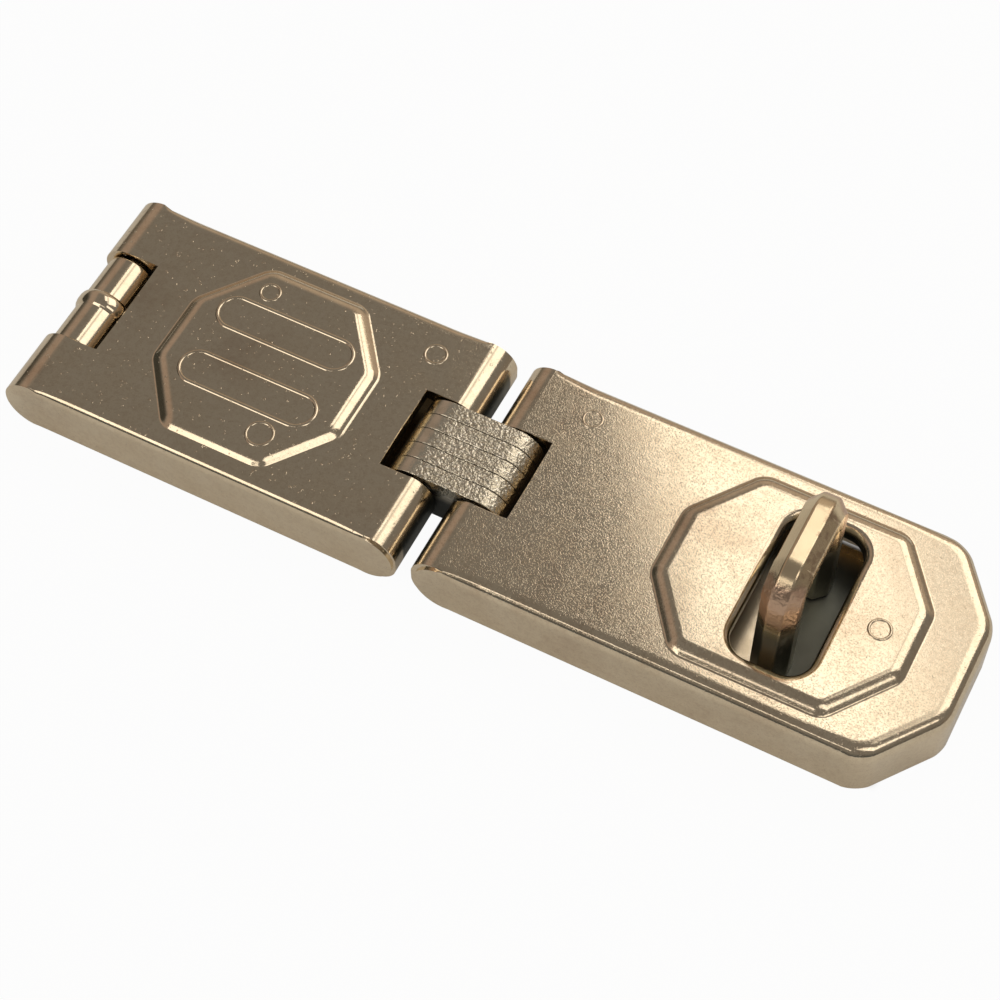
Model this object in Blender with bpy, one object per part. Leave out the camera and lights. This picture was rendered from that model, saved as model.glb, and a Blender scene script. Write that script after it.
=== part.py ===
"""Double-jointed hasp and staple: two pressed covers, a five-leaf link, two base plates and a staple."""

import math

import bmesh
import bpy
from mathutils import Matrix

MM = 0.001
TINY = 1e-6

# Overall size, with the mounting surface at z = 0 and the middle of the length at x = 0
LENGTH = 195 * MM
WIDTH = 52 * MM
COVER_TOP = 13 * MM
SHEET = 3 * MM
BEND = 3 * MM
LEFT = -LENGTH / 2
RIGHT = LENGTH / 2

# Hinge at the left end
HINGE_ROLL = 6.5 * MM
HINGE_BORE = 3.5 * MM
HINGE_PIN = 3.2 * MM
HINGE_X = LEFT + HINGE_ROLL
HINGE_Z = HINGE_ROLL
WINDOW_HALF = 11.7 * MM
WINDOW_END = LEFT + 13.2 * MM
KNUCKLE_HALF = 11.2 * MM
KNUCKLE = 5.4 * MM
BEAD_PROFILE = [(1.9 * MM, KNUCKLE), (1.2 * MM, 5.9 * MM), (0.5 * MM, 6.05 * MM)]

# Link in the middle
LINK_ROLL = 5.4 * MM
LINK_BORE = 2.4 * MM
LINK_PIN = 2.1 * MM
LINK_X_HINGE = -14.8 * MM
LINK_X_STAPLE = -0.7 * MM
LINK_Z = COVER_TOP - LINK_ROLL
NOTCH_HALF = 9.7 * MM
NOTCH_HINGE = -21.3 * MM
NOTCH_STAPLE = 6.3 * MM
LEAF_COUNT = 5
LEAF_THICK = 3.4 * MM
LEAF_GAP = 0.3 * MM
LEAF_END = 5.8 * MM
FLANGE_CORNER = 6 * MM

# Raised octagons, as centre, half sizes and corner cuts
RISE = 1.3 * MM
SLOPE = 3.2 * MM
HINGE_OCTAGON = (-52.2 * MM, 21.3 * MM, 21.8 * MM, 10.4 * MM, 13.7 * MM)
STAPLE_OCTAGON = (61 * MM, 25.6 * MM, 21.8 * MM, 10.4 * MM, 14 * MM)

# Cut corners of the free end
END_CUT_X = 11.1 * MM
END_CUT_Y = 14.9 * MM
END_ROUND = 7 * MM

# Slot and staple
SLOT_X = 62.2 * MM
SLOT_HALF_X = 8.1 * MM
SLOT_HALF_Y = 16.8 * MM
SLOT_ROUND = 5 * MM
SLOT_FLARE = 1 * MM
STAPLE_X = 62 * MM
STAPLE_TOP = 34.5 * MM
STAPLE_FLATS = 7.5 * MM
STAPLE_HALF = 13.5 * MM
STAPLE_BEND = 4.2 * MM
TENON = 3 * MM
TENON_HEAD = 4.2 * MM
TENON_ROOT = 1 * MM

# Base plates, with the tongue that joins the knuckle to its plate
GAP = 0.3 * MM
SKIN = 0.15 * MM
HINGE_PLATE = 2 * MM
HINGE_PLATE_ENDS = (LEFT + 14.5 * MM, LEFT + 79 * MM)
HINGE_HOLES = [(LEFT + x * MM, y * MM) for x in (26, 62) for y in (-13, 13)]
TAB = LEFT + 12.5 * MM
TONGUE_END = TAB + 0.9 * MM
TONGUE_TOP = 3.3 * MM
TONGUE_SLOPE = 3.8 * MM
STAPLE_PLATE = 3 * MM
STAPLE_PLATE_START = LEFT + 102 * MM
STAPLE_HOLES = [(LEFT + x * MM, y * MM) for x in (126, 176) for y in (-11, 11)]
PLATE_HALF = 20.5 * MM
PLATE_ROUND = 4 * MM
SCREW_HOLE = 2.75 * MM

# Small allowances: pin ends, bore ends, and the depth and wall of the raised octagons
PIN_LIP = 0.5 * MM
BORE_STOP = 0.1 * MM
EMBOSS_DEPTH = 0.5 * MM
EMBOSS_WALL = 2 * MM


def clear_scene():
    for obj in list(bpy.data.objects):
        bpy.data.objects.remove(obj)


def plated_steel(name, colour, roughness):
    material = bpy.data.materials.new(name)
    material.use_nodes = True
    shader = material.node_tree.nodes["Principled BSDF"]
    shader.inputs["Base Color"].default_value = (*colour, 1)
    shader.inputs["Metallic"].default_value = 1
    shader.inputs["Roughness"].default_value = roughness
    return material


def add(name, bm):
    bmesh.ops.recalc_face_normals(bm, faces=bm.faces)
    mesh = bpy.data.meshes.new(name)
    bm.to_mesh(mesh)
    bm.free()
    obj = bpy.data.objects.new(name, mesh)
    bpy.context.scene.collection.objects.link(obj)
    return obj


def loft(rings):
    """A closed body through rings of equal point counts, capped at both ends."""
    bm = bmesh.new()
    rows = [[bm.verts.new(point) for point in ring] for ring in rings]
    for row, after in zip(rows, rows[1:]):
        for i, vert in enumerate(row):
            j = (i + 1) % len(row)
            bm.faces.new((vert, row[j], after[j], after[i]))
    bm.faces.new(rows[0])
    bm.faces.new(rows[-1])
    bmesh.ops.recalc_face_normals(bm, faces=bm.faces)
    return bm


def side_prism(outline, half_width):
    """An outline of (x, z) points, drawn out across the width."""
    return loft([[(x, y, z) for x, z in outline] for y in (-half_width, half_width)])


def plan_prism(outline, low, high):
    """An outline of (x, y) points, drawn out upwards."""
    return loft([[(x, y, z) for x, y in outline] for z in (low, high)])


def turned(profile, x, z, steps=32):
    """A profile of (y, radius) points, turned about an axis along the width."""
    rings = []
    for y, radius in profile:
        angles = [2 * math.pi * i / steps for i in range(steps)]
        rings.append([(x + radius * math.cos(a), y, z + radius * math.sin(a)) for a in angles])
    return loft(rings)


def arc(x, z, radius, start, end, steps):
    angles = [math.radians(start + (end - start) * i / steps) for i in range(steps + 1)]
    return [(x + radius * math.cos(a), z + radius * math.sin(a)) for a in angles]


def box_outline(x_low, x_high, half_y):
    return [(x_low, -half_y), (x_high, -half_y), (x_high, half_y), (x_low, half_y)]


def rounded_outline(points, radii, steps=5):
    """The outline with each corner replaced by an arc of its own radius; a radius of 0 stays sharp."""
    found = []
    for i, (x, y) in enumerate(points):
        ways = []
        for other in (points[i - 1], points[(i + 1) % len(points)]):
            far = math.dist((x, y), other)
            ways.append(((other[0] - x) / far, (other[1] - y) / far))
        (ax, ay), (bx, by) = ways
        half = math.acos(ax * bx + ay * by) / 2
        if not radii[i]:
            found.append((x, y))
            continue
        reach = radii[i] / math.tan(half)
        middle = math.hypot(ax + bx, ay + by)
        off = radii[i] / math.sin(half) / middle
        cx, cy = x + (ax + bx) * off, y + (ay + by) * off
        first = math.atan2(y + ay * reach - cy, x + ax * reach - cx)
        turn = math.atan2(y + by * reach - cy, x + bx * reach - cx) - first
        turn = (turn + math.pi) % (2 * math.pi) - math.pi
        for k in range(steps + 1):
            angle = first + turn * k / steps
            found.append((cx + radii[i] * math.cos(angle), cy + radii[i] * math.sin(angle)))
    return found


def octagon(shape, inset):
    """The octagon's corners with every side moved inwards by the same distance."""
    x, half_x, half_y, cut_x, cut_y = shape
    long = math.hypot(cut_x, cut_y)
    slant = (cut_y * half_x + cut_x * (half_y - cut_y)) / long - inset
    end_x, end_y = half_x - inset, half_y - inset
    side_y = (slant * long - cut_y * end_x) / cut_x
    side_x = (slant * long - cut_x * end_y) / cut_y
    quarter = [(end_x, side_y), (side_x, end_y)]
    upper = quarter + [(-a, b) for a, b in reversed(quarter)]
    return [(x + a, b) for a, b in upper + [(-a, -b) for a, b in upper]]


def end_outline(x_low, inset):
    """The free end's plan, from x_low to the right, with every side moved inwards."""
    end, half = RIGHT - inset, WIDTH / 2 - inset
    shift = inset * (math.hypot(END_CUT_X, END_CUT_Y) - END_CUT_X) / END_CUT_Y
    along = inset * (math.hypot(END_CUT_X, END_CUT_Y) - END_CUT_Y) / END_CUT_X
    far_y = WIDTH / 2 - END_CUT_Y - along
    near_x = RIGHT - END_CUT_X - shift
    points = [(x_low, -half), (near_x, -half), (end, -far_y), (end, far_y), (near_x, half), (x_low, half)]
    round_by = END_ROUND - inset
    return rounded_outline(points, [0, round_by, round_by, round_by, round_by, 0])


def round_edges(bm, radius, steps, chosen):
    edges = [edge for edge in bm.edges if chosen(edge)]
    bmesh.ops.bevel(bm, geom=edges, offset=radius, segments=steps, profile=0.5, affect="EDGES")
    bm.normal_update()


def across(x, z):
    """Picks the edges that run across the width at one place of the side view."""
    return lambda edge: all(abs(v.co.x - x) < TINY and abs(v.co.z - z) < TINY for v in edge.verts)


def bends(is_wall):
    """Picks the upper edges between a side wall and the top or a rolled end."""

    def chosen(edge):
        first, second = (face.normal for face in edge.link_faces)
        if is_wall(second):
            first, second = second, first
        return is_wall(first) and abs(first.z) < 0.001 and second.z > 0.01

    return chosen


def apply_boolean(target, tool, operation):
    step = target.modifiers.new("step", "BOOLEAN")
    step.operation = operation
    step.solver = "EXACT"
    step.object = tool
    bpy.context.view_layer.objects.active = target
    bpy.ops.object.modifier_apply(modifier=step.name)
    bpy.data.objects.remove(tool)


def cut(target, bm):
    apply_boolean(target, add("tool", bm), "DIFFERENCE")


def join(target, bm):
    apply_boolean(target, add("tool", bm), "UNION")


def emboss(cover, shape):
    """Presses an octagon up out of the cover's top, hollow underneath."""
    low = [(x, y, COVER_TOP - EMBOSS_DEPTH) for x, y in octagon(shape, -EMBOSS_DEPTH / RISE * SLOPE)]
    high = [(x, y, COVER_TOP + RISE) for x, y in octagon(shape, SLOPE)]
    join(cover, loft([low, high]))
    under = COVER_TOP - SHEET
    low = [(x, y, under - RISE) for x, y in octagon(shape, EMBOSS_WALL - SLOPE)]
    high = [(x, y, under + RISE) for x, y in octagon(shape, EMBOSS_WALL + SLOPE)]
    cut(cover, loft([low, high]))


def finish(obj, material):
    obj.data.materials.clear()
    obj.data.materials.append(material)
    obj.data.shade_smooth()
    obj.data.set_sharp_from_angle(angle=math.radians(18))


def make_hinge_cover(material):
    end = LINK_X_HINGE + LINK_ROLL
    blank = plan_prism(box_outline(LEFT, end, WIDTH / 2), 0, COVER_TOP)
    round_edges(blank, HINGE_ROLL, 8, across(LEFT, COVER_TOP))
    round_edges(blank, FLANGE_CORNER, 6, across(LEFT, 0))
    round_edges(blank, LINK_ROLL, 8, across(end, COVER_TOP))
    round_edges(blank, FLANGE_CORNER, 6, across(end, 0))
    round_edges(blank, BEND, 4, bends(lambda normal: abs(normal.y) > 0.99))
    cover = add("hinge_cover", blank)
    emboss(cover, HINGE_OCTAGON)
    under = COVER_TOP - SHEET
    near = math.degrees(math.asin((under - HINGE_Z) / HINGE_ROLL))
    far = 180 - math.degrees(math.asin((under - LINK_Z) / LINK_ROLL))
    roll = arc(HINGE_X, HINGE_Z, HINGE_ROLL, -60, near, 10)
    nose = arc(LINK_X_HINGE, LINK_Z, LINK_ROLL, far, 325, 16)
    hollow = [(roll[0][0], -BEND)] + roll + nose + [(end + BEND, nose[-1][1]), (end + BEND, -BEND)]
    cut(cover, side_prism(hollow, WIDTH / 2 - SHEET))
    cut(cover, plan_prism(box_outline(LEFT - BEND, WINDOW_END, WINDOW_HALF), -BEND, COVER_TOP + BEND))
    cut(cover, plan_prism(box_outline(NOTCH_HINGE, end + BEND, NOTCH_HALF), -BEND, COVER_TOP + BEND))
    inside = WIDTH / 2 - SHEET - BORE_STOP
    cut(cover, side_prism(arc(HINGE_X, HINGE_Z, HINGE_BORE, 0, 345, 23), inside))
    cut(cover, side_prism(arc(LINK_X_HINGE, LINK_Z, LINK_BORE, 0, 345, 23), inside))
    finish(cover, material)
    return cover


def make_hasp_cover(material):
    end = LINK_X_STAPLE - LINK_ROLL
    blank = plan_prism(end_outline(end, 0), 0, COVER_TOP)
    round_edges(blank, LINK_ROLL, 8, across(end, COVER_TOP))
    round_edges(blank, FLANGE_CORNER, 6, across(end, 0))
    round_edges(blank, BEND, 4, bends(lambda normal: normal.x > -0.99))
    cover = add("hasp_cover", blank)
    emboss(cover, STAPLE_OCTAGON)
    under = COVER_TOP - SHEET
    far = math.degrees(math.asin((under - LINK_Z) / LINK_ROLL))
    nose = arc(LINK_X_STAPLE, LINK_Z, LINK_ROLL, 215, 360 + far, 16)
    left = end - BEND
    hollow = [(left, -BEND), (left, nose[0][1])] + nose + [(RIGHT + BEND, under), (RIGHT + BEND, -BEND)]
    tool = add("hollow", side_prism(hollow, WIDTH))
    apply_boolean(tool, add("plan", plan_prism(end_outline(left - BEND, SHEET), -WIDTH, WIDTH)), "INTERSECT")
    apply_boolean(cover, tool, "DIFFERENCE")
    cut(cover, plan_prism(box_outline(left, NOTCH_STAPLE, NOTCH_HALF), -BEND, COVER_TOP + BEND))
    inside = WIDTH / 2 - SHEET - BORE_STOP
    cut(cover, side_prism(arc(LINK_X_STAPLE, LINK_Z, LINK_BORE, 0, 345, 23), inside))
    cut_slot(cover)
    finish(cover, material)
    return cover


def cut_slot(cover):
    def outline(grow):
        half_x, half_y = SLOT_HALF_X + grow, SLOT_HALF_Y + grow
        corners = box_outline(SLOT_X - half_x, SLOT_X + half_x, half_y)
        return rounded_outline(corners, [SLOT_ROUND + grow] * 4)

    top = COVER_TOP + RISE
    levels = [(0, 0), (top - SLOT_FLARE, 0), (top + SLOT_FLARE, 2 * SLOT_FLARE)]
    cut(cover, loft([[(x, y, z) for x, y in outline(grow)] for z, grow in levels]))


def make_leaf(number, material):
    middle = (number - (LEAF_COUNT + 1) / 2) * (LEAF_THICK + LEAF_GAP)
    outline = arc(LINK_X_HINGE, LINK_Z, LEAF_END, 90, 270, 16)
    outline += arc(LINK_X_STAPLE, LINK_Z, LEAF_END, -90, 90, 16)
    leaf = side_prism(outline, LEAF_THICK / 2)
    bmesh.ops.translate(leaf, verts=leaf.verts, vec=(0, middle, 0))
    leaf = add(f"link_leaf_{number}", leaf)
    for x in (LINK_X_HINGE, LINK_X_STAPLE):
        cut(leaf, side_prism(arc(x, LINK_Z, LINK_BORE, 0, 345, 23), WIDTH / 2))
    finish(leaf, material)
    return leaf


def make_pin(name, x, z, radius, material):
    half = WIDTH / 2 - SHEET - 2 * GAP
    straight = half - PIN_LIP
    tip = radius - PIN_LIP
    profile = [(-half, tip), (-straight, radius), (straight, radius), (half, tip)]
    pin = add(name, turned(profile, x, z))
    finish(pin, material)
    return pin


def drill(plate, places, radius):
    for x, y in places:
        hole = [(x + a, y + b) for a, b in arc(0, 0, radius, 0, 345, 23)]
        cut(plate, plan_prism(hole, -BEND, COVER_TOP))


def make_hinge_plate(material):
    near, far = HINGE_PLATE_ENDS
    points = [(TAB, -KNUCKLE_HALF), (near, -KNUCKLE_HALF), (near, -PLATE_HALF), (far, -PLATE_HALF)]
    points += [(x, -y) for x, y in reversed(points)]
    radii = [0, 0, PLATE_ROUND, PLATE_ROUND, PLATE_ROUND, PLATE_ROUND, 0, 0]
    plate = add("hinge_base_plate", plan_prism(rounded_outline(points, radii), 0, HINGE_PLATE))
    upper = HINGE_PLATE - SKIN
    tongue = [(HINGE_X, HINGE_Z - KNUCKLE + SKIN), (TONGUE_END, SKIN), (TONGUE_END, upper)]
    tongue += [(TAB + SKIN, upper), (HINGE_X + TONGUE_SLOPE, TONGUE_TOP), (HINGE_X, TONGUE_TOP)]
    join(plate, side_prism(tongue, KNUCKLE_HALF - SKIN))
    profile = [(-y, radius) for y, radius in [(KNUCKLE_HALF, KNUCKLE)] + BEAD_PROFILE]
    profile += [(-y, radius) for y, radius in reversed(profile)]
    join(plate, turned(profile, HINGE_X, HINGE_Z, 40))
    cut(plate, side_prism(arc(HINGE_X, HINGE_Z, HINGE_BORE, 0, 345, 23), WIDTH))
    drill(plate, HINGE_HOLES, SCREW_HOLE)
    finish(plate, material)
    return plate


def leg_places():
    """Where the two legs of the staple stand."""
    middle = STAPLE_HALF - STAPLE_FLATS / 2
    return [(STAPLE_X, -middle), (STAPLE_X, middle)]


def make_staple_plate(material):
    outline = end_outline(STAPLE_PLATE_START, WIDTH / 2 - PLATE_HALF)
    plate = add("staple_base_plate", plan_prism(outline, 0, STAPLE_PLATE))
    drill(plate, STAPLE_HOLES, SCREW_HOLE)
    drill(plate, leg_places(), TENON + GAP)
    for x, y in leg_places():
        hole = [(x + a, y + b) for a, b in arc(0, 0, TENON_HEAD + GAP, 0, 345, 23)]
        cut(plate, plan_prism(hole, -BEND, STAPLE_PLATE / 2))
    finish(plate, material)
    return plate


def make_staple(material):
    """An eight-sided bar, bent round at its two upper corners, with a riveted tenon under each leg."""
    flat = STAPLE_FLATS / 2
    side = flat * math.tan(math.pi / 8)
    half = STAPLE_HALF - flat
    top = STAPLE_TOP - flat
    low = STAPLE_PLATE + GAP
    steps = 6
    path = [(half, low, 1, 0)]
    for i in range(steps + 1):
        angle = math.pi / 2 * i / steps
        out, up = math.cos(angle), math.sin(angle)
        path.append((half + STAPLE_BEND * (out - 1), top + STAPLE_BEND * (up - 1), out, up))
    path = [(-y, z, -out, up) for y, z, out, up in path] + list(reversed(path))
    right = [(side, flat), (flat, side), (flat, -side), (side, -flat)]
    section = right + [(-across_x, -reach) for across_x, reach in right]
    rings = []
    for y, z, out, up in path:
        rings.append([(STAPLE_X + across_x, y + out * reach, z + up * reach) for across_x, reach in section])
    staple = add("staple", loft(rings))
    for x, y in leg_places():
        rivet = [(GAP, TENON_HEAD), (STAPLE_PLATE / 2 - GAP, TENON_HEAD)]
        rivet += [(STAPLE_PLATE / 2 - GAP, TENON), (low + TENON_ROOT, TENON)]
        rings = []
        for z, radius in rivet:
            rings.append([(x + a, y + b, z) for a, b in arc(0, 0, radius, 0, 345, 23)])
        join(staple, loft(rings))
    finish(staple, material)
    return staple


def axis_empty(name, place, parent=None, parent_place=(0, 0)):
    """An empty on a joint's axis, placed by (x, z), under the empty of the joint before it."""
    empty = bpy.data.objects.new(name, None)
    empty.empty_display_size = 10 * MM
    bpy.context.scene.collection.objects.link(empty)
    empty.parent = parent
    empty.location = (place[0] - parent_place[0], 0, place[1] - parent_place[1])
    return empty


def hang(empty, place, pieces):
    for piece in pieces:
        piece.parent = empty
        piece.matrix_parent_inverse = Matrix.Translation((place[0], 0, place[1])).inverted()


def main():
    clear_scene()
    cover_steel = plated_steel("cover_steel", (0.72, 0.66, 0.54), 0.22)
    leaf_steel = plated_steel("leaf_steel", (0.66, 0.62, 0.52), 0.4)
    pin_steel = plated_steel("pin_steel", (0.55, 0.53, 0.48), 0.35)
    plate_steel = plated_steel("plate_steel", (0.76, 0.71, 0.6), 0.3)
    staple_steel = plated_steel("staple_steel", (0.7, 0.6, 0.45), 0.25)

    make_hinge_plate(plate_steel)
    make_staple_plate(plate_steel)
    make_staple(staple_steel)
    hinge_cover = make_hinge_cover(cover_steel)
    hinge_pin = make_pin("hinge_pin", HINGE_X, HINGE_Z, HINGE_PIN, pin_steel)
    leaves = [make_leaf(number, leaf_steel) for number in range(1, LEAF_COUNT + 1)]
    pin_hinge_side = make_pin("link_pin_hinge_side", LINK_X_HINGE, LINK_Z, LINK_PIN, pin_steel)
    pin_staple_side = make_pin("link_pin_staple_side", LINK_X_STAPLE, LINK_Z, LINK_PIN, pin_steel)
    hasp_cover = make_hasp_cover(cover_steel)

    hinge_place = (HINGE_X, HINGE_Z)
    near_place = (LINK_X_HINGE, LINK_Z)
    far_place = (LINK_X_STAPLE, LINK_Z)
    hinge_axis = axis_empty("hinge_axis", hinge_place)
    near_axis = axis_empty("link_axis_hinge_side", near_place, hinge_axis, hinge_place)
    far_axis = axis_empty("link_axis_staple_side", far_place, near_axis, near_place)
    hang(hinge_axis, hinge_place, [hinge_cover, hinge_pin, pin_hinge_side])
    hang(near_axis, near_place, leaves)
    hang(far_axis, far_place, [hasp_cover, pin_staple_side])


main()
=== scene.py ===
"""Hasp and staple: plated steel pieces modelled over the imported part, with light, floor and camera."""

import math

import bmesh
import bpy
from mathutils import Matrix, Vector


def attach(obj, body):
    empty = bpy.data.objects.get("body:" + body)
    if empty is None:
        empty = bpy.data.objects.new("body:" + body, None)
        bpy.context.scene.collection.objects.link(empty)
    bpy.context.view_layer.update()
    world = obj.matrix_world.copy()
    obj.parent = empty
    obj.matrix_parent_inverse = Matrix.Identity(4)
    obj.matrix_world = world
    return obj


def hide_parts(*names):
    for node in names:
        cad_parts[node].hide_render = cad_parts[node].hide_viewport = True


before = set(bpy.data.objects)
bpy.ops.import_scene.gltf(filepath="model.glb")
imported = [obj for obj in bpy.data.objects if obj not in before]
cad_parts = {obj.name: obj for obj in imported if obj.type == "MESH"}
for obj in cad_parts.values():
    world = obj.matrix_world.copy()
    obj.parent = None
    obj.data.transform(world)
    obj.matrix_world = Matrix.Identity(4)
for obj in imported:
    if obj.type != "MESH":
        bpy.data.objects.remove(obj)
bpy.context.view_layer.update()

MM = 0.001
CLOSE = 0.02

# Covers, in millimetres
LEFT, RIGHT = -97.5, 97.5
HALF_WIDTH = 26
TOP = 13
SHEET = 3
FLANGE_CORNER = 6
HINGE_ROLL = 6.5
HINGE_X, HINGE_Z = -91, 6.5
HINGE_BORE = 3.5
WINDOW_HALF, WINDOW_END = 11.7, -84.3
LINK_ROLL = 5.4
LINK_NEAR, LINK_FAR, LINK_Z = -14.8, -0.7, 7.6
LINK_BORE = 2.4
NOTCH_HALF, NOTCH_NEAR, NOTCH_FAR = 9.7, -21.3, 6.3
SEAM = 1.2
NEAR_NOSE = LINK_NEAR + LINK_ROLL
FAR_NOSE = LINK_FAR - LINK_ROLL
END_CUT = (11.1, 14.9)
END_ROUND = 7
EDGE = 0.25

# Rolled noses: how far their ends stand back from the walls, the round of that step, and their underside
NOSE_BACK, NOSE_GAP = 0.45, 0.9
NOSE_ROUND, NOSE_ROUND_Z = FLANGE_CORNER + 0.2, 6.3
NOSE_UNDER = LINK_Z - 3.1

# Bend from the top into the side walls: its width, its shape, and its share from a rolled end onwards
BEND = 3.6
BEND_SHAPE = 0.62
BEND_STEP = 1.5
BEND_SHARES = (0, 0.08, 0.3, 0.55, 0.78, 0.94, 1)

# Raised octagons, as centre, half length, half width and corner cuts
RISE = 1.3
SLOPE = 3.2
SHOULDER_ANGLE = 36
SHOULDER_ROUND = 4.34
FOOT_ROUND, FOOT_GROW, FOOT_CORNER = 1, 0.32, 4.4
SUNK, CROWN_ROOT = 0.005, 4
HOLLOW_ROOT, HOLLOW_GROW = 3, SLOPE - 2
HINGE_OCTAGON = (-52.2, 21.3, 21.8, 10.4, 13.7)
STAPLE_OCTAGON = (61, 25.6, 21.8, 10.4, 14)

# Raised lines on the covers, as place, radius, and half length of a ring drawn out along the cover
LINE, SMALL_LINE = 0.55, 0.4
LINE_SUNK = 0.64
HINGE_LINES = [
    (-52.3, 8.0, TOP + RISE, 3.8, 11.2),
    (-52.3, -6.9, TOP + RISE, 3.8, 11.2),
    (-60, 15.5, TOP + RISE, 2, 0),
    (-44.7, -15.1, TOP + RISE, 2.7, 0),
    (-23.7, 18, TOP, 2.2, 0),
]
HASP_LINES = [(10.8, 18.3, TOP, 1.9, 0), (78.7, -0.4, TOP + RISE, 2.1, 0)]

# Slot and staple
SLOT_X, SLOT_HALF = 62.2, (8.1, 16.8)
SLOT_ROUND = 5
SLOT_LIP = 1.7
STAPLE_X, STAPLE_TOP, STAPLE_HALF = 62, 34.5, 13.5
STAPLE_FLATS = 7.5
STAPLE_BEND = 4.2
STAPLE_FOOT = 3.3
LEG = STAPLE_HALF - STAPLE_FLATS / 2
TENON, TENON_HEAD, TENON_GAP = 3, 4.2, 0.3
BAR_EDGE = 0.35

# Leaves, knuckle and plates
LEAF_COUNT, LEAF_THICK, LEAF_PITCH, LEAF_END = 5, 3.56, 3.7, 5.8
LEAF_SLANT = 0.1
KNUCKLE, KNUCKLE_HALF, KNUCKLE_EDGE = 5.4, 11.2, 0.35
BEAD_RINGS = [(1.9, 5.4), (1.6, 5.68), (1.2, 5.9), (0.5, 6.05)]
TAB, TAB_HALF = -85, 11.05
TAB_LIFT, TAB_THIN, TAB_MIDDLE = 1.2, 0.8, 2.1
HINGE_PLATE, STAPLE_PLATE, PLATE_HALF = 2, 3, 20.5
PLATE_CORNER, PLATE_EDGE = 4, 0.2
HINGE_PLATE_ENDS, STAPLE_PLATE_START = (-83, -18.5), 4.5
HINGE_HOLES = [(x, y) for x in (-71.5, -35.5) for y in (-13, 13)]
STAPLE_HOLES = [(x, y) for x in (28.5, 78.5) for y in (-11, 11)]
SCREW_HOLE = 2.75


def put_down():
    """Leaves edit mode and lets go of everything."""
    if bpy.context.mode != "OBJECT":
        bpy.ops.object.mode_set(mode="OBJECT")
    bpy.ops.object.select_all(action="DESELECT")


def take(piece):
    put_down()
    piece.select_set(True)
    bpy.context.view_layer.objects.active = piece


def settle(name):
    """Names the new primitive and moves its place and size into its mesh."""
    piece = bpy.context.object
    piece.name = piece.data.name = name
    bpy.ops.object.transform_apply(location=True, rotation=True, scale=True)
    return piece


def block(name, low, high):
    put_down()
    middle = [(a + b) / 2 for a, b in zip(low, high)]
    bpy.ops.mesh.primitive_cube_add(size=1, location=middle)
    bpy.context.object.scale = [b - a for a, b in zip(low, high)]
    return settle(name)


def rod(name, radius, start, end, sides=64):
    """A round rod across the width or upright, with a flat of its rounding upmost or foremost."""
    put_down()
    start, end = Vector(start), Vector(end)
    lying = abs(end.y - start.y) > abs(end.z - start.z)
    half_side = math.pi / sides
    bpy.ops.mesh.primitive_cylinder_add(
        vertices=sides,
        radius=radius,
        depth=(end - start).length,
        location=(start + end) / 2,
        rotation=(math.pi / 2, half_side, 0) if lying else (0, 0, half_side),
    )
    return settle(name)


def pick(piece, kind, test):
    """Opens the piece in edit mode with only the parts that pass the test selected."""
    take(piece)
    bpy.ops.object.mode_set(mode="EDIT")
    bpy.ops.mesh.select_mode(type=kind)
    bpy.ops.mesh.select_all(action="DESELECT")
    net = bmesh.from_edit_mesh(piece.data)
    for part in {"VERT": net.verts, "EDGE": net.edges, "FACE": net.faces}[kind]:
        if test(part):
            part.select_set(True)
    net.select_flush_mode()
    bmesh.update_edit_mesh(piece.data)


def on(edge, **place):
    """True where both ends of an edge lie on the given x, y or z, in millimetres."""
    return all(abs(getattr(v.co, axis) - mm) < CLOSE for v in edge.verts for axis, mm in place.items())


def upright(edge):
    return abs(edge.verts[0].co.z - edge.verts[1].co.z) > 1


def facing_up(face):
    return face.normal.z > 0.99


def round_over(piece, size, steps, test):
    pick(piece, "EDGE", test)
    bpy.ops.mesh.bevel(
        offset=size,
        offset_type="OFFSET",
        segments=steps,
        profile=0.5,
        affect="EDGES",
        clamp_overlap=False,
        loop_slide=False,
    )
    put_down()


def slice_off(piece, point, way):
    """Cuts the piece at a plane and drops what lies beyond it."""
    pick(piece, "FACE", lambda face: True)
    bpy.ops.mesh.bisect(plane_co=Vector(point), plane_no=way, use_fill=True, clear_outer=True)
    put_down()


def score(piece, point, way, test=lambda face: True):
    """Runs a line of edges where a plane meets the piece's faces, or those of them that pass the test."""
    pick(piece, "FACE", test)
    bpy.ops.mesh.bisect(plane_co=Vector(point), plane_no=way)
    put_down()


def draw_out(way):
    """Extrudes the selected face."""
    bpy.ops.mesh.extrude_region_move(TRANSFORM_OT_translate={"value": Vector(way)})


def close_seams(piece):
    """Merges points that lie on each other and turns all faces outwards."""
    pick(piece, "VERT", lambda vert: True)
    bpy.ops.mesh.remove_doubles(threshold=0.01)
    bpy.ops.mesh.normals_make_consistent(inside=False)
    put_down()


def combine(piece, tool, operation):
    take(piece)
    step = piece.modifiers.new(operation.lower(), "BOOLEAN")
    step.operation = operation
    step.solver = "MANIFOLD"
    step.object = tool
    bpy.ops.object.modifier_apply(modifier=step.name)
    bpy.data.objects.remove(tool)


def carve(piece, tool):
    combine(piece, tool, "DIFFERENCE")


def weld(piece, tool):
    combine(piece, tool, "UNION")


def soften(piece, width, steps=2, angle=40):
    """Takes the sharpness off the long hard edges."""

    def hard(edge):
        outer = len(edge.link_faces) == 2 and edge.is_convex and edge.calc_length() > 1
        return outer and edge.calc_face_angle() > math.radians(angle)

    round_over(piece, width, steps, hard)


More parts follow.
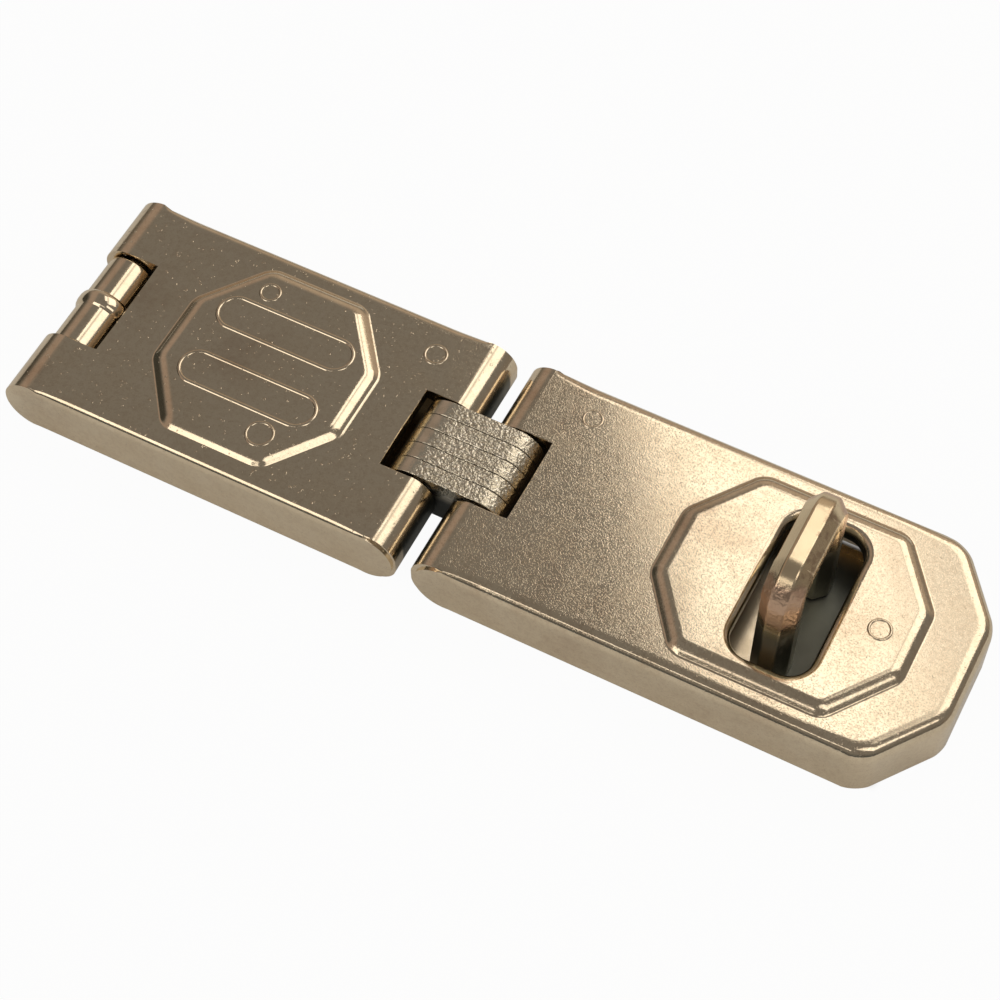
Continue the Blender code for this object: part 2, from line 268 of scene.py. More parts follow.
def slant_outline(piece, size):
    """Insets the faces at both sides of a piece and draws their outer points inwards."""
    ends = [limit(vert.co.y for vert in piece.data.vertices) for limit in (min, max)]
    for y, inwards in zip(ends, (size, -size)):
        outline = [vert.co.copy() for vert in piece.data.vertices if abs(vert.co.y - y) < CLOSE]
        pick(piece, "FACE", lambda face: all(abs(vert.co.y - y) < CLOSE for vert in face.verts))
        bpy.ops.mesh.inset(thickness=size, depth=0, use_even_offset=True)
        pick(piece, "VERT", lambda vert: any((vert.co - point).length < CLOSE / 10 for point in outline))
        bpy.ops.transform.translate(value=(0, inwards, 0))
        put_down()


def keep_flat(piece):
    """Lets the level faces keep their own shading where bends and slopes run into them."""
    pick(piece, "FACE", lambda face: face.normal.z > 0.99999)
    bpy.ops.mesh.mod_weighted_strength(set=True, face_strength="STRONG")
    put_down()


def smooth(piece, angle=30):
    """Brings the piece from millimetres to metres, and shades it smooth with its flat faces left flat."""
    take(piece)
    piece.scale = (MM, MM, MM)
    bpy.ops.object.transform_apply(location=False, rotation=False, scale=True)
    bpy.ops.object.shade_smooth_by_angle(angle=math.radians(angle))
    step = piece.modifiers.new("even", "WEIGHTED_NORMAL")
    step.keep_sharp = True
    step.use_face_influence = True
    step.weight = 100
    bpy.ops.object.modifier_apply(modifier=step.name)


def octagon_block(name, shape, low, high, grow):
    """An upright octagon with all its sides moved outwards by the same distance."""
    x, half_x, half_y, cut_x, cut_y = shape
    piece = block(name, (x - half_x - grow, -half_y - grow, low), (x + half_x + grow, half_y + grow, high))
    long = math.hypot(cut_x, cut_y)
    for side_x in (-1, 1):
        for side_y in (-1, 1):
            way = Vector((side_x * cut_y, side_y * cut_x, 0)) / long
            corner = Vector((x + side_x * half_x, side_y * (half_y - cut_y), 0)) + way * grow
            slice_off(piece, corner, way)
    return piece


def raise_top(piece, steps):
    """Insets and lifts the top face, step by step, so that the sides lean in."""
    pick(piece, "FACE", facing_up)
    for inwards, upwards in steps:
        bpy.ops.mesh.inset(thickness=inwards, depth=0, use_even_offset=True)
        bpy.ops.transform.translate(value=(0, 0, upwards))
    put_down()


def shoulder():
    """Steps of a pressed slope: hollow at its foot, then straight, then rolled over to the flat crown."""
    steep = math.radians(SHOULDER_ANGLE)
    straight = SLOPE + FOOT_GROW - (FOOT_ROUND + SHOULDER_ROUND) * math.sin(steep)
    steps = []
    for i in range(4):
        first, second = steep * i / 4, steep * (i + 1) / 4
        inwards = FOOT_ROUND * (math.sin(second) - math.sin(first))
        steps.append((inwards, FOOT_ROUND * (math.cos(first) - math.cos(second))))
    steps.append((straight, straight * math.tan(steep)))
    for i in range(8):
        first, second = steep * (1 - i / 8), steep * (1 - (i + 1) / 8)
        inwards = SHOULDER_ROUND * (math.sin(first) - math.sin(second))
        steps.append((inwards, SHOULDER_ROUND * (math.cos(second) - math.cos(first))))
    return steps


def press_octagon(cover, shape):
    """Presses an octagon up out of the cover's top."""
    x, half_x, half_y, cut_x, cut_y = shape
    crown = octagon_block("crown", shape, TOP - CROWN_ROOT, TOP - SUNK, FOOT_GROW)
    turn = math.atan2(cut_x, cut_y)

    def at_end(edge):
        return upright(edge) and abs(edge.verts[0].co.x - x) > half_x + FOOT_GROW - CLOSE

    def at_side(edge):
        return upright(edge) and abs(edge.verts[0].co.y) > half_y + FOOT_GROW - CLOSE

    round_over(crown, FOOT_CORNER * math.tan(turn / 2), 6, at_end)
    turn = math.pi / 2 - turn
    round_over(crown, FOOT_CORNER * math.tan(turn / 2), 6, at_side)
    raise_top(crown, shoulder())
    score(cover, (0, 0, 0), (0, 1, 0))
    weld(cover, crown)


def press_underside(cover, shape):
    """Hollows the raised octagon from below."""
    under = TOP - SHEET
    recess = octagon_block("recess", shape, under - HOLLOW_ROOT, under - RISE, HOLLOW_GROW)
    raise_top(recess, [(2 * SLOPE, 2 * RISE)])
    carve(cover, recess)


def bend_sides(cover, wall, rolls):
    """Rolls the top over into the side walls, narrow at the rolled ends and wider along the straight."""
    for x, along in rolls:
        for i in range(1, len(BEND_SHARES)):
            score(cover, (x + along * i * BEND_STEP, 0, 0), (1, 0, 0))

    def rim(edge):
        normals = [face.normal for face in edge.link_faces]
        sides = [wall(normal) and abs(normal.z) < 0.001 for normal in normals]
        return sides.count(True) == 1 and normals[sides.index(False)].z > -0.9

    def stage(edge):
        middle = (edge.verts[0].co.x + edge.verts[1].co.x) / 2
        far = min(along * (middle - x) for x, along in rolls)
        return min(math.floor(far / BEND_STEP) + 1 if far > 0 else 0, len(BEND_SHARES) - 1)

    for number, share in enumerate(BEND_SHARES):
        pick(cover, "EDGE", lambda edge: rim(edge) and stage(edge) == number)
        bpy.ops.transform.edge_bevelweight(value=share)
    take(cover)
    step = cover.modifiers.new("bend", "BEVEL")
    step.limit_method = "WEIGHT"
    step.width = BEND
    step.segments = 10
    step.profile = BEND_SHAPE
    step.use_clamp_overlap = False
    bpy.ops.object.modifier_apply(modifier=step.name)
    close_seams(cover)


def step_back_nose(cover, nose, inwards):
    """Sets the ends of the rolled nose a little behind the outer faces of the two side walls."""
    middle = nose + inwards * (FLANGE_CORNER + NOSE_GAP)
    for side in (-1, 1):
        depths = sorted((side * (HALF_WIDTH + 1), side * (HALF_WIDTH - NOSE_BACK)))
        ends = sorted((middle, nose - inwards))
        step = block("step", (ends[0], depths[0], -1), (ends[1], depths[1], TOP + 1))
        near, far = ((middle, end * 2 * HALF_WIDTH, NOSE_ROUND_Z) for end in (-1, 1))
        carve(step, rod("wall_end", NOSE_ROUND, near, far, 96))
        carve(cover, step)


def raise_lines(cover, lines):
    """Thin raised rings, half sunk in the surface, some of them drawn out along the cover."""
    for x, y, z, radius, half in lines:
        thick = LINE if half else SMALL_LINE
        put_down()
        bpy.ops.mesh.primitive_torus_add(
            location=(x, y, z - LINE_SUNK * thick),
            major_radius=radius,
            minor_radius=thick,
            major_segments=64,
            minor_segments=20,
        )
        ring = settle("ring")
        for side in (-1, 1):
            pick(ring, "VERT", lambda vert: (vert.co.x > x - 0.001) == (side > 0) and half)
            bpy.ops.transform.translate(value=(side * half, 0, 0))
        weld(cover, ring)


def across_width(name, radius, x, z, half):
    return rod(name, radius, (x, -half, z), (x, half, z))


def make_hinge_cover():
    cover = block("hinge_cover_pressing", (LEFT, -HALF_WIDTH, 0), (NEAR_NOSE, HALF_WIDTH, TOP))
    round_over(cover, HINGE_ROLL, 20, lambda edge: on(edge, x=LEFT, z=TOP))
    round_over(cover, FLANGE_CORNER, 12, lambda edge: on(edge, x=LEFT, z=0))
    round_over(cover, LINK_ROLL, 20, lambda edge: on(edge, x=NEAR_NOSE, z=TOP))
    round_over(cover, FLANGE_CORNER, 12, lambda edge: on(edge, x=NEAR_NOSE, z=0))
    bend_sides(cover, lambda normal: abs(normal.y) > 0.99, [(HINGE_X, 1), (LINK_NEAR, -1)])
    press_octagon(cover, HINGE_OCTAGON)
    step_back_nose(cover, NEAR_NOSE, -1)

    inside = HALF_WIDTH - SHEET
    beyond = NEAR_NOSE + SHEET
    hollow = block("hollow", (HINGE_X + HINGE_ROLL / 2, -inside, -SHEET), (beyond, inside, TOP - SHEET))
    carve(hollow, across_width("roll", HINGE_ROLL, HINGE_X, HINGE_Z, HALF_WIDTH))
    carve(hollow, across_width("nose", LINK_ROLL, LINK_NEAR, LINK_Z, HALF_WIDTH))
    carve(hollow, block("keep", (LINK_NEAR, -HALF_WIDTH, NOSE_UNDER), (beyond + 1, HALF_WIDTH, TOP + 1)))
    carve(cover, hollow)
    press_underside(cover, HINGE_OCTAGON)
    carve(cover, block("window", (LEFT - 3, -WINDOW_HALF, -3), (WINDOW_END, WINDOW_HALF, TOP + 3)))
    carve(cover, block("notch", (NOTCH_NEAR, -NOTCH_HALF, -3), (beyond, NOTCH_HALF, TOP + 3)))
    carve(cover, across_width("bore", HINGE_BORE, HINGE_X, HINGE_Z, inside - 0.1))
    carve(cover, across_width("bore", LINK_BORE, LINK_NEAR, LINK_Z, inside - 0.1))
    raise_lines(cover, HINGE_LINES)
    for x in (WINDOW_END + SEAM, NOTCH_NEAR - SEAM):
        score(cover, (x, 0, 0), (1, 0, 0), facing_up)
    soften(cover, EDGE)
    keep_flat(cover)
    smooth(cover)
    return cover


def free_end(name, start, grow, low, high):
    """A block whose far end has its two corners cut off and rounded."""
    half, end = HALF_WIDTH + grow, RIGHT + grow
    piece = block(name, (start, -half, low), (end, half, high))
    cut_x, cut_y = END_CUT
    for side in (-1, 1):
        way = Vector((cut_y, side * cut_x, 0)).normalized()
        slice_off(piece, Vector((RIGHT, side * (HALF_WIDTH - cut_y), 0)) + way * grow, way)
    turn = math.atan2(cut_y, cut_x)
    radius = END_ROUND + grow

    def corner(edge, at_end):
        first, second = edge.verts
        along = abs(first.co.x - second.co.x) + abs(first.co.y - second.co.y)
        x = first.co.x
        return along < CLOSE and x > start + 1 and (x > end - 0.1) == at_end

    round_over(piece, radius * math.tan(turn / 2), 10, lambda edge: corner(edge, False))
    turn = math.pi / 2 - turn
    round_over(piece, radius * math.tan(turn / 2), 10, lambda edge: corner(edge, True))
    return piece


def make_hasp_cover():
    cover = free_end("hasp_cover_pressing", FAR_NOSE, 0, 0, TOP)
    round_over(cover, LINK_ROLL, 20, lambda edge: on(edge, x=FAR_NOSE, z=TOP))
    round_over(cover, FLANGE_CORNER, 12, lambda edge: on(edge, x=FAR_NOSE, z=0))
    bend_sides(cover, lambda normal: normal.x > -0.99, [(LINK_FAR, 1)])
    press_octagon(cover, STAPLE_OCTAGON)
    step_back_nose(cover, FAR_NOSE, 1)

    inside = HALF_WIDTH - SHEET
    beyond = FAR_NOSE - SHEET
    hollow = free_end("hollow", beyond, -SHEET, -SHEET, TOP - SHEET)
    carve(hollow, across_width("nose", LINK_ROLL, LINK_FAR, LINK_Z, HALF_WIDTH))
    carve(hollow, block("keep", (beyond - 1, -HALF_WIDTH, NOSE_UNDER), (LINK_FAR, HALF_WIDTH, TOP + 1)))
    carve(cover, hollow)
    press_underside(cover, STAPLE_OCTAGON)
    carve(cover, block("notch", (beyond, -NOTCH_HALF, -3), (NOTCH_FAR, NOTCH_HALF, TOP + 3)))
    carve(cover, across_width("bore", LINK_BORE, LINK_FAR, LINK_Z, inside - 0.1))

    half_x, half_y = SLOT_HALF
    slot = block("slot", (SLOT_X - half_x, -half_y, 0), (SLOT_X + half_x, half_y, TOP + 6))
    round_over(slot, SLOT_ROUND, 10, upright)
    score(cover, (SLOT_X, 0, 0), (1, 0, 0))
    carve(cover, slot)

    def rim(edge):
        middle = (edge.verts[0].co + edge.verts[1].co) / 2
        near = abs(middle.x - SLOT_X) < half_x + 0.1 and abs(middle.y) < half_y + 0.1
        return on(edge, z=TOP + RISE) and near

    round_over(cover, SLOT_LIP, 8, rim)
    raise_lines(cover, HASP_LINES)
    score(cover, (NOTCH_FAR + SEAM, 0, 0), (1, 0, 0), facing_up)
    soften(cover, EDGE)
    keep_flat(cover)
    smooth(cover)
    return cover


def make_leaves():
    """One leaf is shaped, then copied across the width."""
    first = -(LEAF_COUNT - 1) / 2 * LEAF_PITCH
    low = (LINK_NEAR - LEAF_END, first - LEAF_THICK / 2, LINK_Z - LEAF_END)
    high = (LINK_FAR + LEAF_END, first + LEAF_THICK / 2, LINK_Z + LEAF_END)
    leaf = block("leaf_1", low, high)

    def end_edge(edge):
        return not upright(edge) and (on(edge, x=low[0]) or on(edge, x=high[0]))

    round_over(leaf, LEAF_END - 0.01, 16, end_edge)
    slant_outline(leaf, LEAF_SLANT)
    for x in (LINK_NEAR, LINK_FAR):
        carve(leaf, across_width("bore", LINK_BORE, x, LINK_Z, HALF_WIDTH))
    smooth(leaf)
    leaves = [leaf]
    for number in range(2, LEAF_COUNT + 1):
        take(leaf)
        bpy.ops.object.duplicate(linked=False)
        copy = bpy.context.object
        copy.name = copy.data.name = f"leaf_{number}"
        bpy.ops.transform.translate(value=(0, (number - 1) * LEAF_PITCH * MM, 0))
        bpy.ops.object.transform_apply(location=True, rotation=True, scale=True)
        leaves.append(copy)
    return leaves


def drill(plate, holes, radius, high):
    for x, y in holes:
        carve(plate, rod("hole", radius, (x, y, -2), (x, y, high), 32))


def make_knuckle():
    """A round bar across the hinge window, with a bead raised round its middle."""
    knuckle = across_width("knuckle", KNUCKLE, HINGE_X, HINGE_Z, KNUCKLE_HALF)
    round_over(knuckle, KNUCKLE_EDGE, 3, lambda edge: on(edge, y=KNUCKLE_HALF) or on(edge, y=-KNUCKLE_HALF))
    for y, _ in BEAD_RINGS:
        for side in (-1, 1):
            score(knuckle, (0, side * y, 0), (0, 1, 0))
    for y, radius in BEAD_RINGS:
        pick(knuckle, "VERT", lambda vert: abs(abs(vert.co.y) - y) < CLOSE)
        bpy.ops.transform.resize(
            value=(radius / KNUCKLE, 1, radius / KNUCKLE), center_override=(HINGE_X, 0, HINGE_Z)
        )
        put_down()
    return knuckle


def make_hinge_plate():
    near, far = HINGE_PLATE_ENDS
    plate = block("hinge_plate_body", (near, -PLATE_HALF, 0), (far, PLATE_HALF, HINGE_PLATE))
    round_over(plate, PLATE_CORNER, 6, upright)
    for side in (-1, 1):
        score(plate, (0, side * TAB_HALF, 0), (0, 1, 0))
    pick(plate, "FACE", lambda face: face.normal.x < -0.99 and abs(face.calc_center_median().y) < 1)
    draw_out((TAB - near, 0, 0))
    draw_out((HINGE_X - TAB, 0, TAB_LIFT))
    bpy.ops.transform.resize(value=(1, 1, TAB_THIN), center_override=(0, 0, TAB_MIDDLE))
    put_down()
    weld(plate, make_knuckle())
    carve(plate, across_width("bore", HINGE_BORE, HINGE_X, HINGE_Z, HALF_WIDTH))
    drill(plate, HINGE_HOLES, SCREW_HOLE, TOP)
    smooth(plate)
    return plate


def make_staple_plate():
    plate = free_end("staple_plate_body", STAPLE_PLATE_START, PLATE_HALF - HALF_WIDTH, 0, STAPLE_PLATE)
    legs = [(STAPLE_X, -LEG), (STAPLE_X, LEG)]
    drill(plate, STAPLE_HOLES, SCREW_HOLE, TOP)
    drill(plate, legs, TENON + TENON_GAP, TOP)
    drill(plate, legs, TENON_HEAD + TENON_GAP, STAPLE_PLATE / 2)
    soften(plate, PLATE_EDGE)
    smooth(plate)
    return plate


def make_staple():
    """An eight-sided bar, drawn up, swept round, drawn along, swept round and drawn down again."""
    flat = STAPLE_FLATS / 2
    straight = LEG - STAPLE_BEND
    high = STAPLE_TOP - flat - STAPLE_BEND
    put_down()
    bpy.ops.mesh.primitive_circle_add(
        vertices=8,
        radius=flat / math.cos(math.pi / 8),
        fill_type="NGON",
        location=(STAPLE_X, -LEG, STAPLE_FOOT),
        rotation=(0, 0, math.pi / 8),
    )
    bow = settle("staple_bow")

    def sweep(y):
        middle = (STAPLE_X, y, high)
        bpy.ops.mesh.spin(steps=12, angle=math.pi / 2, center=middle, axis=(1, 0, 0))

    pick(bow, "FACE", lambda face: True)
    draw_out((0, 0, high - STAPLE_FOOT))
    sweep(-straight)
    draw_out((0, 2 * straight, 0))
    sweep(straight)
    draw_out((0, 0, STAPLE_FOOT - high))
    close_seams(bow)
    soften(bow, BAR_EDGE, 3, 30)
    for y in (-LEG, LEG):
        head_top = STAPLE_PLATE / 2 - TENON_GAP
        weld(bow, rod("head", TENON_HEAD, (STAPLE_X, y, TENON_GAP), (STAPLE_X, y, head_top), 32))
        weld(bow, rod("tenon", TENON, (STAPLE_X, y, 1), (STAPLE_X, y, STAPLE_FOOT + 1), 32))
    smooth(bow)
    return bow


class Finish:
    """A socket of a material's nodes, so that shader sums are written as Python."""

    def __init__(self, tree, socket=None):
        self.tree = tree
        self.socket = socket

    def node(self, kind, settings, values, output=0):
        """Adds a node, sets it up, fills or links its sockets, and gives back one of its outputs."""
        made = self.tree.nodes.new(kind)
        for name, value in settings.items():
            setattr(made, name, value)
        for name, value in values.items():
            if isinstance(value, Finish):
                self.tree.links.new(value.socket, made.inputs[name])
            else:
                made.inputs[name].default_value = value
        return Finish(self.tree, made.outputs[output])

    def sum(self, operation, first, second):
        return self.node("ShaderNodeMath", {"operation": operation}, {0: first, 1: second})

    def __add__(self, other):
        return self.sum("ADD", self, other)

    def __radd__(self, other):
        return self.sum("ADD", other, self)

    def __sub__(self, other):
        return self.sum("SUBTRACT", self, other)

    def __rsub__(self, other):
        return self.sum("SUBTRACT", other, self)

    def __mul__(self, other):
        return self.sum("MULTIPLY", self, other)

    def __rmul__(self, other):
        return self.sum("MULTIPLY", other, self)

    def along(self, axis):
        """One of the three parts of this place or direction."""
        return self.node("ShaderNodeSeparateXYZ", {}, {"Vector": self}, axis)

    def step(self, low, high):
        """0 below the low value, 1 above the high one, and smooth between them."""
        ends = {"From Min": low, "From Max": high, "To Min": 0.0, "To Max": 1.0}
        return self.node("ShaderNodeMapRange", {"interpolation_type": "SMOOTHSTEP"}, {"Value": self, **ends})

    def past(self, low, high):
        """0 before the low place and 1 past the high one, in millimetres."""
        return self.step(low * MM, high * MM)

    def within(self, inner, outer):
        """1 nearer to zero than the inner distance and 0 beyond the outer one, in millimetres."""
        return 1.0 - (self * self).step((inner * MM) ** 2, (outer * MM) ** 2)

    def noise(self, size, detail=2.0, rough=0.5):
        """Soft noise on this place, with spots of about the given size in millimetres."""
        values = {"Vector": self, "Scale": 1 / (size * MM), "Detail": detail, "Roughness": rough}
        return self.node("ShaderNodeTexNoise", {}, values)

    def blend(self, first, second):
        """From the first colour to the second as this value goes from 0 to 1."""
        colours = [value if isinstance(value, Finish) else (*value, 1) for value in (first, second)]
        return self.node("ShaderNodeMix", {"data_type": "RGBA"}, {0: self, 6: colours[0], 7: colours[1]}, 2)

    def bump(self, depth):
        """A surface normal for this height, with the given depth in millimetres."""
        values = {"Strength": 1.0, "Distance": depth * MM, "Height": self}
        return self.node("ShaderNodeBump", {}, values, "Normal")


def start_finish(name):
    material = bpy.data.materials.new(name)
    material.use_nodes = True
    tree = material.node_tree
    place = Finish(tree).node("ShaderNodeTexCoord", {}, {}, "Object")
    return material, tree.nodes["Principled BSDF"], place


def feed(shader, sockets):
    for name, value in sockets.items():
        if isinstance(value, Finish):
            value.tree.links.new(value.socket, shader.inputs[name])
        else:
            shader.inputs[name].default_value = value


PALE, DEEP = (0.86, 0.745, 0.565), (0.82, 0.7, 0.52)
PIN_PALE, PIN_DEEP = (0.6, 0.56, 0.48), (0.5, 0.46, 0.4)
STAIN = (0.52, 0.37, 0.25)
# Painted shade: the dark tone laid where shade falls inside the covers, on the slot walls and on the plate
# beside the staple, and how far it rises up the slot walls
PAINTED_SHADE_TONE = (0.1, 0.12, 0.115)
SLOT_SHADE = 3.2


def plating(name, gloss, grain, specks, nicks=0.0, inner=0.0, pale=PALE, deep=DEEP):
    """Warm bright plating with cloudy tone, fine grain, specks, nicks and faint stains, with painted shade
    darkening its inner faces.
    """
    material, shader, place = start_finish(name)
    cloud = place.noise(9, 4.0, 0.6).step(0.35, 0.65)
    grit = place.noise(0.3, 2.0, 0.6)
    pit = place.noise(0.32, 1.0).step(0.56, 0.66)
    glint = place.noise(0.38, 1.0).step(0.56, 0.66)
    nick = place.noise(0.9, 1.0).step(0.71, 0.76)
    mark = place.noise(22, 5.0, 0.65).step(0.55, 0.72)
    mottle = place.noise(1.1, 3.0, 0.7).step(0.42, 0.66)
    tone = cloud.blend(pale, deep)
    tone = (mark * 0.34 + mottle * 0.18).blend(tone, STAIN)
    tone = (pit * specks * 0.25).blend(tone, STAIN)
    # Painted shade: darkens the inner faces and the slot walls where shade falls
    painted_shade = inside_shade(place) * inner
    tone = (painted_shade * 0.88).blend(tone, PAINTED_SHADE_TONE)
    rough = gloss + (cloud - 0.5) * 0.04 + (pit + glint) * specks * 0.03 + painted_shade * 0.25
    height = grit + (glint - pit) * specks + nick * nicks
    feed(shader, {"Base Color": tone, "Roughness": rough, "Normal": height.bump(grain), "Metallic": 1.0})
    return material


def inside_shade(place):
    """Painted shade: 1 on the inner faces of the covers and the walls of the slot, where shade falls, and 0
    elsewhere.
    """
    x, y, z = (place.along(axis) for axis in "XYZ")
    between_walls = y.within(22, 22.9)
    between_ends = x.past(-89.5, -88.5) * (1.0 - x.past(83, 87))
    round_slot = x.past(45, 50) * (1.0 - x.past(74, 78)) * y.within(18.4, 20)
    low = 1.0 - (z - round_slot * SLOT_SHADE * MM).past(9.2, 11)
    return low * between_walls * between_ends


def slot_plate_plating(name):
    """Plating of the plate below the slot, with soft painted shade beside and behind the staple."""
    material, shader, place = start_finish(name)
    cloud = place.noise(6, 3.0).step(0.35, 0.65)
    x, y = place.along("X"), place.along("Y")
    # Painted shade: a soft dark patch beside and behind the staple, where the staple and the cover shade the
    # plate
    under_slot = x.past(50, 56) * (1.0 - x.past(70, 82)) * y.within(14.1, 20)
    beside, behind = x.past(58.5, 62.5), y.past(4, 9)
    shade = under_slot * (beside + behind - beside * behind)
    tone = cloud.blend(PALE, (0.8, 0.67, 0.485))
    tone = (shade * 0.9).blend(tone, PAINTED_SHADE_TONE)
    grit = place.noise(0.4, 2.0, 0.6)
    rough = 0.22 + cloud * 0.05 + shade * 0.2
    feed(shader, {"Base Color": tone, "Roughness": rough, "Normal": grit.bump(0.006), "Metallic": 1.0})
    return material


def pitted_plating(name):
    """Dull plating over sheared edges: pitted on top, smooth at the hinge end, and darkened low down by
    painted shade.
    """
    material, shader, place = start_finish(name)
    cloud = place.noise(4, 3.0).step(0.35, 0.65)
    rugged = place.along("X").past(-16.5, -12.5) * place.along("Z").past(9.5, 11.5)
    coarse = place.noise(0.9, 1.0)
    fine = place.noise(0.4, 1.0)
    glint = place.noise(0.55, 1.0).step(0.56, 0.64) * rugged
    # Painted shade: darker towards the bottom, where the covers shade the leaves
    painted_shade = 1.0 - place.along("Z").past(7.5, 10.5)
    tone = cloud.blend((0.78, 0.71, 0.57), (0.66, 0.6, 0.47))
    tone = glint.blend(tone, (0.95, 0.88, 0.74))
    tone = (painted_shade * 0.9).blend(tone, (0.05, 0.06, 0.065))
    height = (coarse * 1.2 + fine * 0.8) * (rugged * 0.93 + 0.07)
    rough = 0.2 + cloud * 0.06 + painted_shade * 0.3
    feed(shader, {"Base Color": tone, "Roughness": rough, "Normal": height.bump(0.16), "Metallic": 1.0})
    return material


def bar_plating(name):
    """Brassy plating: streaked along the staple's top, coppery and rough on its bends, grey on its legs."""
    material, shader, place = start_finish(name)
    height = place.along("Z")
    side = place.along("Y")
    cloud = place.noise(5, 3.0).step(0.35, 0.65)
    streak = place.noise(2.2, 3.0, 0.6).step(0.5, 0.66) * place.along("X").past(62.9, 63.7)
    outer = 1.0 - side.within(8, 9.5)
    worn = outer * height.past(20.5, 23.5) * (1.0 - height.past(31.8, 33.3))
    lower = 1.0 - height.past(18.5, 23)
    grit = place.noise(0.9, 2.0, 0.6)
    tone = cloud.blend((0.87, 0.72, 0.49), (0.83, 0.67, 0.45))
    tone = (streak * 0.75).blend(tone, (0.4, 0.27, 0.18))
    tone = (worn * 0.85).blend(tone, (0.66, 0.44, 0.32))
    tone = (lower * 0.85).blend(tone, (0.6, 0.6, 0.49))
    rough = 0.2 + streak * 0.12 + worn * 0.1 + lower * 0.1
    bump = (grit * (worn * 0.95 + 0.05)).bump(0.22)
    feed(shader, {"Base Color": tone, "Roughness": rough, "Normal": bump, "Metallic": 1.0})
    return material


# Lamps and the room that the metal reflects
WARM = (1.0, 0.93, 0.84)
FRONT_WALL, BACK_WALL, CEILING = (0.075, 0.08, 0.078), (0.21, 0.18, 0.15), (0.195, 0.18, 0.165)
LEFT_GLOW, LEFT_DARK, BACK_GLOW = (0.34, 0.265, 0.22), (0.05, 0.048, 0.04), (0.46, 0.375, 0.3)
SOFT_LIGHT, WHITE = (0.32, 0.32, 0.32), (1, 1, 1)
PAPER = (0.82, 0.79, 0.73, 1)
KEY_WAY, KEY_SLANT = (0.22, 0.52, 0.825), (0.7707, 0.4247, -0.4732)
LEVEL = (1, 0, 0)

# Camera
LENS = 88.55
CAMERA_PLACE = (0.1185, -0.2304, 0.4090)
CAMERA_BACK, CAMERA_ACROSS = (0.2457, -0.4770, 0.8439), (0.8890, 0.4579, 0)


def put_light(name, way, across, low, high, radiance, far=1.1):
    """A soft light panel off along a direction; low and high are its edges at one metre."""
    way = Vector(way).normalized()
    across = Vector(across)
    across = (across - way * across.dot(way)).normalized()
    up = way.cross(across)
    data = bpy.data.lights.new(name, "AREA")
    data.shape = "RECTANGLE"
    data.size = (high[0] - low[0]) * far
    data.size_y = (high[1] - low[1]) * far
    data.energy = radiance * math.pi * data.size * data.size_y
    data.color = WARM
    lamp = bpy.data.objects.new(name, data)
    bpy.context.scene.collection.objects.link(lamp)
    middle = way + across * (low[0] + high[0]) / 2 + up * (low[1] + high[1]) / 2
    lamp.matrix_world = Matrix.Translation(middle * far) @ Matrix((across, up, way)).transposed().to_4x4()
    lamp.visible_camera = False


def set_world():
    """White to the camera, pale to soft light, and a dim warm room in the reflections."""
    world = bpy.data.worlds.new("studio")
    bpy.context.scene.world = world
    world.use_nodes = True
    tree = world.node_tree
    tree.nodes.clear()
    start = Finish(tree)
    way = start.node("ShaderNodeTexCoord", {}, {}, "Generated")
    horizon = way.along("Y").step(-0.6, 0.2).blend(FRONT_WALL, BACK_WALL)
    room = way.along("Z").step(0.05, 0.6).blend(horizon, CEILING)
    left = 0.0 - way.along("X")
    glow = left.step(0.45, 0.62) * (1.0 - left.step(0.74, 0.9)) * way.along("Z").step(0.0, 0.4)
    room = glow.blend(room, LEFT_GLOW)
    room = left.step(0.8, 0.93).blend(room, LEFT_DARK)
    back = way.along("Y").step(0.6, 0.9) * way.along("Z").step(0.0, 0.3)
    room = back.blend(room, BACK_GLOW)
    glossy = start.node("ShaderNodeLightPath", {}, {}, "Is Glossy Ray")
    camera = start.node("ShaderNodeLightPath", {}, {}, "Is Camera Ray")
    seen = camera.blend(glossy.blend(SOFT_LIGHT, room), WHITE)
    light = start.node("ShaderNodeBackground", {}, {"Color": seen, "Strength": 1.0})
    output = tree.nodes.new("ShaderNodeOutputWorld")
    tree.links.new(light.socket, output.inputs["Surface"])


def make_floor():
    put_down()
    bpy.ops.mesh.primitive_plane_add(size=8, location=(0, 0, -0.2 * MM))
    floor = settle("floor")
    material, shader, place = start_finish("floor_paper")
    feed(shader, {"Base Color": PAPER, "Roughness": 0.9})
    white = place.node("ShaderNodeEmission", {}, {"Color": (*WHITE, 1), "Strength": 1.0})
    camera = place.node("ShaderNodeLightPath", {}, {}, "Is Camera Ray")
    glossy = place.node("ShaderNodeLightPath", {}, {}, "Is Glossy Ray")
    through = place.node("ShaderNodeLightPath", {}, {}, "Is Transmission Ray")
    x, y = place.along("X"), place.along("Y")
    covered = x.past(4, 8) * (1.0 - x.past(85, 90)) * y.within(22.4, 24.5)
    share = camera * (1.0 - covered) * 0.96 + (glossy + through) * 0.08
    paper = Finish(material.node_tree, shader.outputs[0])
    mixed = place.node("ShaderNodeMixShader", {}, {0: share, 1: paper, 2: white})
    material.node_tree.links.new(mixed.socket, material.node_tree.nodes["Material Output"].inputs["Surface"])
    floor.data.materials.append(material)


def set_camera():
    data = bpy.data.cameras.new("camera")
    data.sensor_width = 36
    data.lens = LENS
    data.clip_start, data.clip_end = 0.01, 50
    camera = bpy.data.objects.new("camera", data)
    bpy.context.scene.collection.objects.link(camera)
    back = Vector(CAMERA_BACK).normalized()
    across = Vector(CAMERA_ACROSS).normalized()
    up = back.cross(across)
    turn = Matrix((across, up, back)).transposed().to_4x4()
    camera.matrix_world = Matrix.Translation(CAMERA_PLACE) @ turn
    bpy.context.scene.camera = camera


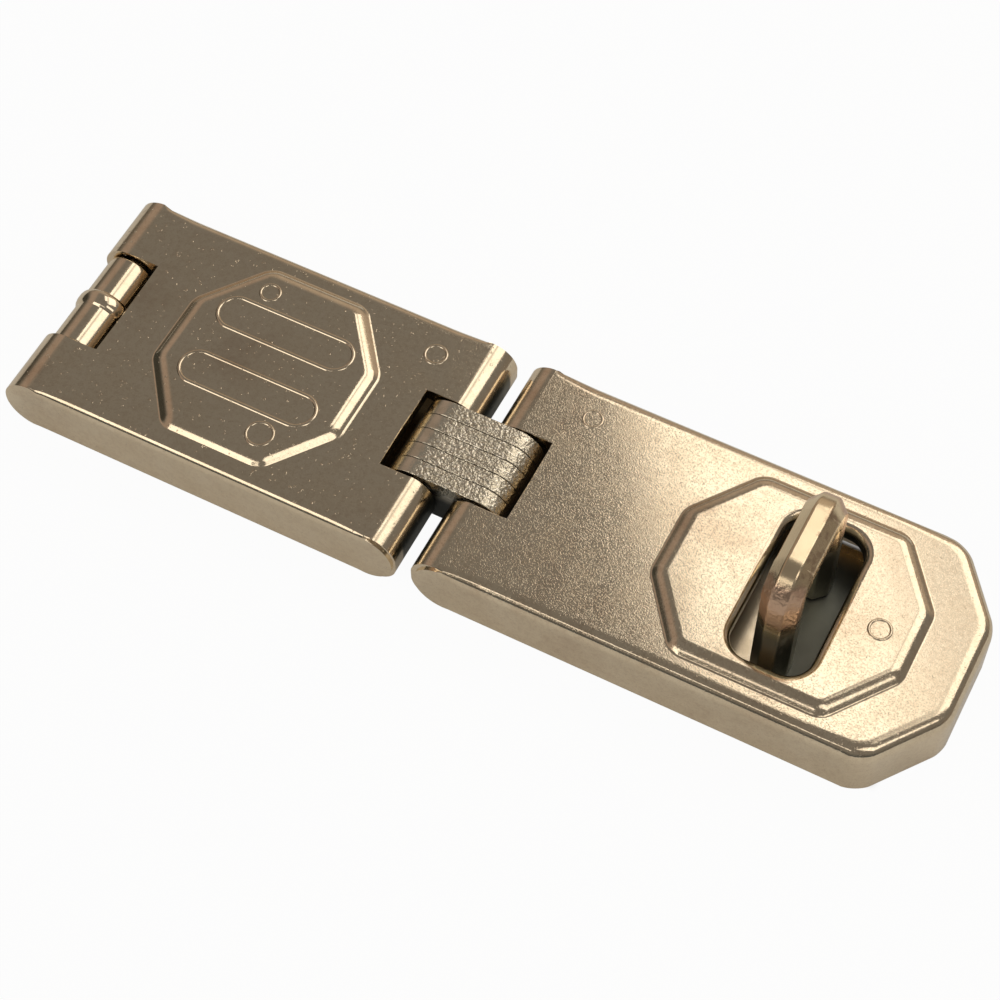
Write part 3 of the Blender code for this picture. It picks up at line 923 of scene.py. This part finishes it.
def light_studio():
    put_light("key_panel", KEY_WAY, KEY_SLANT, (-0.335, 0.0), (-0.2, 0.45), 1.5)
    put_light("key_panel_middle", KEY_WAY, KEY_SLANT, (-0.2, -0.26), (-0.1, 0.45), 0.65)
    put_light("key_panel_right", KEY_WAY, KEY_SLANT, (-0.1, -0.26), (0.385, 0.45), 1.4)
    put_light("front_left_low", (-0.42, -0.65, 0.633), LEVEL, (-0.2, -0.27), (0.2, 0.23), 1.4)
    put_light("front_strip", (-0.08, -0.57, 0.82), LEVEL, (-0.2, -0.06), (0.2, 0.06), 1.2)
    put_light("front_right", (0.5, -0.14, 0.855), LEVEL, (-0.27, -0.16), (0.27, 0.16), 1.3)


def dress(piece, material, body, slot, *nodes):
    piece.data.materials.clear()
    piece.data.materials.append(material)
    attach(piece, body)
    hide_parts(*nodes)


def main():
    hinge_finish = plating("hinge_cover_plating", 0.12, 0.003, 0.5, nicks=14.0, inner=1.0)
    hasp_finish = plating("hasp_cover_plating", 0.11, 0.004, 0.9, nicks=4.0, inner=1.0)
    knuckle_finish = plating("hinge_plate_plating", 0.12, 0.003, 0.2)
    plate_finish = slot_plate_plating("staple_plate_plating")
    pin_finish = plating("pin_plating", 0.3, 0.01, 0.5, pale=PIN_PALE, deep=PIN_DEEP)
    leaf_finish = pitted_plating("leaf_plating")

    dress(make_hinge_cover(), hinge_finish, "hinge_side", "cover_steel", "hinge_cover")
    dress(make_hasp_cover(), hasp_finish, "hasp_side", "cover_steel", "hasp_cover")
    for number, leaf in enumerate(make_leaves(), 1):
        dress(leaf, leaf_finish, "link", "leaf_steel", f"link_leaf_{number}")
    dress(make_hinge_plate(), knuckle_finish, "mounting_plates", "plate_steel", "hinge_base_plate")
    dress(make_staple_plate(), plate_finish, "mounting_plates", "plate_steel", "staple_base_plate")
    dress(make_staple(), bar_plating("staple_plating"), "mounting_plates", "staple_steel", "staple")
    for node in ("hinge_pin", "link_pin_hinge_side", "link_pin_staple_side"):
        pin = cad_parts[node]
        pin.data.materials.clear()
        pin.data.materials.append(pin_finish)

    light_studio()
    set_world()
    make_floor()
    set_camera()
    bpy.context.scene.view_settings.view_transform = "Standard"


main()
put_down()
